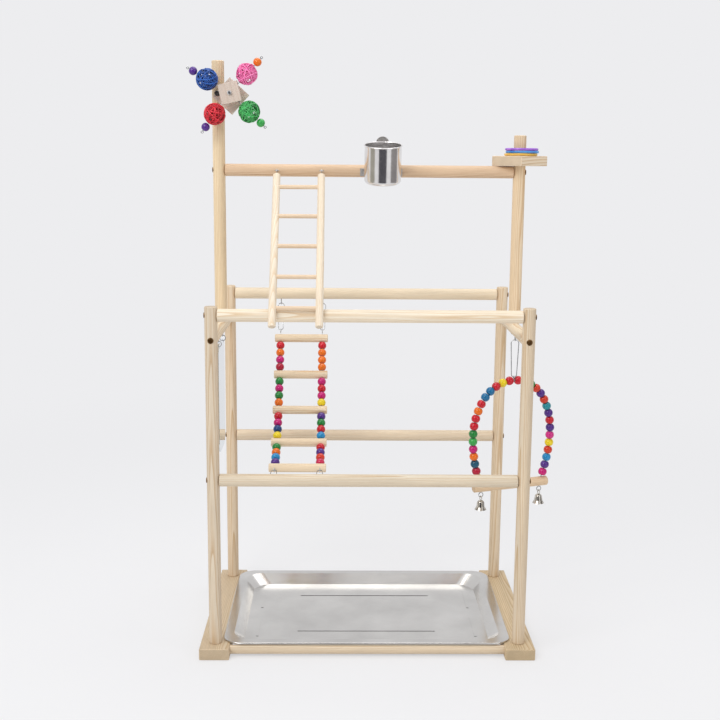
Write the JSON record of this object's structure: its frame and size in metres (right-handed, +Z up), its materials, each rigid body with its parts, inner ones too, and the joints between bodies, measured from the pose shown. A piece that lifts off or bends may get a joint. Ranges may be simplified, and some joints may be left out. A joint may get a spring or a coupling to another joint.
{
  "type": "parrot play stand",
  "caption": "Dowel-framed parrot play stand with a drip tray, perches, feeding cup, ladder, hanging bead ladder, bead swing with bells, pinwheel, ring toy and hanging mirror.",
  "frame": {"origin": "on the floor, below the middle of the stand's overall box", "axes": "+X to the right as seen from the front, +Y to the back, +Z up"},
  "size_m": [0.7676, 0.4466, 1.1877],
  "materials": {
    "pine_frame": "sanded, unvarnished",
    "pine_toy": "sanded, unvarnished",
    "bronze_screws": "bronze plating",
    "zinc_wire": "bright zinc plating",
    "steel_tray": "satin rolled sheet",
    "steel_cup": "polished stainless steel",
    "nickel_bells": "nickel plating",
    "rattan_pink": "dyed woven rattan",
    "rattan_blue": "dyed woven rattan",
    "rattan_red": "dyed woven rattan",
    "rattan_green": "dyed woven rattan",
    "painted_beads": "painted and varnished in mixed colours",
    "plastic_yellow": "glossy moulding",
    "plastic_blue": "glossy moulding",
    "plastic_purple": "glossy moulding",
    "mirror_acrylic": "silvered acrylic"
  },
  "bodies": {
    "stand": {"base_board_left": "pine_frame", "base_board_right": "pine_frame", "cross_dowel_front": "pine_frame", "cross_dowel_back": "pine_frame", "leg_front_left": "pine_frame", "leg_front_right": "pine_frame", "leg_back_left": "pine_frame", "leg_back_right": "pine_frame", "perch_front_top": "pine_frame", "perch_back_top": "pine_frame", "perch_front_mid": "pine_frame", "perch_back_mid": "pine_frame", "perch_upper": "pine_frame", "side_rail_left": "pine_frame", "side_rail_right": "pine_frame", "post_left": "pine_frame", "post_right": "pine_frame", "frame_screws": "bronze_screws", "screw_eyes": "zinc_wire", "pinwheel_back_plate": "pine_toy", "pinwheel_plate_screw": "bronze_screws", "pinwheel_bolt": "zinc_wire", "pinwheel_nuts": "zinc_wire", "bead_ladder_hooks": "zinc_wire"},
    "tray": {"tray": "steel_tray"},
    "cup": {"cup": "steel_cup", "cup_bracket": "steel_cup"},
    "pinwheel": {"pinwheel_hub": "pine_toy", "pinwheel_arms": "zinc_wire", "pinwheel_beads": "painted_beads"},
    "ball_pink": {"ball_pink": "rattan_pink"},
    "ball_blue": {"ball_blue": "rattan_blue"},
    "ball_red": {"ball_red": "rattan_red"},
    "ball_green": {"ball_green": "rattan_green"},
    "ring_block": {"ring_block": "pine_toy"},
    "ring_yellow": {"ring_yellow": "plastic_yellow"},
    "ring_blue": {"ring_blue": "plastic_blue"},
    "ring_purple": {"ring_purple": "plastic_purple"},
    "ladder": {"ladder_rails": "pine_toy", "ladder_rungs": "pine_toy", "ladder_eyes": "zinc_wire"},
    "swing_hook": {"swing_hook": "zinc_wire"},
    "swing": {"swing_wire": "zinc_wire", "swing_beads": "painted_beads", "swing_bar": "pine_toy"},
    "bell_left": {"bell_left": "nickel_bells"},
    "bell_right": {"bell_right": "nickel_bells"},
    "clapper_left": {"clapper_left": "nickel_bells"},
    "clapper_right": {"clapper_right": "nickel_bells"},
    "mirror": {"mirror_panel": "mirror_acrylic", "mirror_rings": "zinc_wire"},
    "rung_1": {"bead_ladder_rung_1": "pine_toy", "bead_ladder_beads_1": "painted_beads"},
    "rung_2": {"bead_ladder_rung_2": "pine_toy", "bead_ladder_beads_2": "painted_beads"},
    "rung_3": {"bead_ladder_rung_3": "pine_toy", "bead_ladder_beads_3": "painted_beads"},
    "rung_4": {"bead_ladder_rung_4": "pine_toy", "bead_ladder_beads_4": "painted_beads"},
    "rung_5": {"bead_ladder_rung_5": "pine_toy"}
  },
  "joints": [
    {"name": "tray_lift", "type": "slide", "parent": "stand", "child": "tray", "axis": [0, 0, 1], "range_m": [0, 0.12]},
    {"name": "cup_tilt", "type": "hinge", "parent": "stand", "child": "cup", "pos_m": [0.0072, 0, 0.9655], "axis": [1, 0, 0], "range_deg": [-11, 25]},
    {"name": "pinwheel_spin", "type": "hinge", "parent": "stand", "child": "pinwheel", "pos_m": [-0.2978, -0.04, 1.1165], "axis": [0, 1, 0], "continuous": true},
    {"name": "ball_pink_spin", "type": "hinge", "parent": "pinwheel", "child": "ball_pink", "pos_m": [-0.2637, -0.04, 1.15307], "axis": [0.682, 0, 0.7314], "continuous": true},
    {"name": "ball_blue_spin", "type": "hinge", "parent": "pinwheel", "child": "ball_blue", "pos_m": [-0.34231, -0.04, 1.1422], "axis": [-0.866, 0, 0.5], "continuous": true},
    {"name": "ball_red_spin", "type": "hinge", "parent": "pinwheel", "child": "ball_red", "pos_m": [-0.32801, -0.04, 1.07492], "axis": [-0.5878, 0, -0.809], "continuous": true},
    {"name": "ball_green_spin", "type": "hinge", "parent": "pinwheel", "child": "ball_green", "pos_m": [-0.25929, -0.04, 1.08008], "axis": [0.7266, 0, -0.6871], "continuous": true},
    {"name": "ring_block_spin", "type": "hinge", "parent": "stand", "child": "ring_block", "pos_m": [0.2892, 0, 0.9883], "axis": [0, 0, 1], "continuous": true},
    {"name": "ring_yellow_lift", "type": "slide", "parent": "stand", "child": "ring_yellow", "axis": [0, 0, 1], "range_m": [0, 0.05]},
    {"name": "ring_blue_lift", "type": "slide", "parent": "ring_yellow", "child": "ring_blue", "axis": [0, 0, 1], "range_m": [0, 0.05]},
    {"name": "ring_purple_lift", "type": "slide", "parent": "ring_blue", "child": "ring_purple", "axis": [0, 0, 1], "range_m": [0, 0.05]},
    {"name": "ladder_lift", "type": "hinge", "parent": "stand", "child": "ladder", "pos_m": [-0.1608, -0.0247, 0.9655], "axis": [-1, 0, 0], "range_deg": [0, 60]},
    {"name": "rung_1_sway", "type": "slide", "parent": "stand", "child": "rung_1", "axis": [1, 0, 0], "range_m": [-0.0012, 0.0012]},
    {"name": "rung_2_sway", "type": "slide", "parent": "rung_1", "child": "rung_2", "axis": [1, 0, 0], "range_m": [-0.0036, 0.0036]},
    {"name": "rung_3_sway", "type": "slide", "parent": "rung_2", "child": "rung_3", "axis": [1, 0, 0], "range_m": [-0.0024, 0.0024]},
    {"name": "rung_4_sway", "type": "slide", "parent": "rung_3", "child": "rung_4", "axis": [1, 0, 0], "range_m": [-0.0024, 0.0024]},
    {"name": "rung_5_sway", "type": "slide", "parent": "rung_4", "child": "rung_5", "axis": [1, 0, 0], "range_m": [-0.0036, 0.0036]},
    {"name": "swing_hook_sway", "type": "hinge", "parent": "stand", "child": "swing_hook", "pos_m": [0.2892, -0.02, 0.6209], "axis": [1, 0, 0], "range_deg": [-20, 20]},
    {"name": "swing_sway", "type": "hinge", "parent": "swing_hook", "child": "swing", "pos_m": [0.2892, -0.02, 0.544], "axis": [0, 1, 0], "range_deg": [-25, 25]},
    {"name": "bell_left_swing", "type": "hinge", "parent": "swing", "child": "bell_left", "pos_m": [0.22357, -0.04389, 0.28704], "axis": [0.9397, 0.342, 0], "range_deg": [-20, 20]},
    {"name": "clapper_left_swing", "type": "hinge", "parent": "bell_left", "child": "clapper_left", "pos_m": [0.22357, -0.04389, 0.27894], "axis": [0.9397, 0.342, 0], "range_deg": [-10, 10]},
    {"name": "bell_right_swing", "type": "hinge", "parent": "swing", "child": "bell_right", "pos_m": [0.35483, 0.00389, 0.28704], "axis": [0.9397, 0.342, 0], "range_deg": [-20, 20]},
    {"name": "clapper_right_swing", "type": "hinge", "parent": "bell_right", "child": "clapper_right", "pos_m": [0.35483, 0.00389, 0.27894], "axis": [0.9397, 0.342, 0], "range_deg": [-10, 10]},
    {"name": "mirror_swing", "type": "hinge", "parent": "stand", "child": "mirror", "pos_m": [-0.3248, -0.02, 0.6188], "axis": [0, 1, 0], "range_deg": [-18, 30]}
  ],
  "couplings": [
    {"joint": "rung_2_sway", "follows": "rung_1_sway", "ratio": 3},
    {"joint": "rung_3_sway", "follows": "rung_1_sway", "ratio": 2},
    {"joint": "rung_4_sway", "follows": "rung_1_sway", "ratio": -2},
    {"joint": "rung_5_sway", "follows": "rung_1_sway", "ratio": -3}
  ]
}
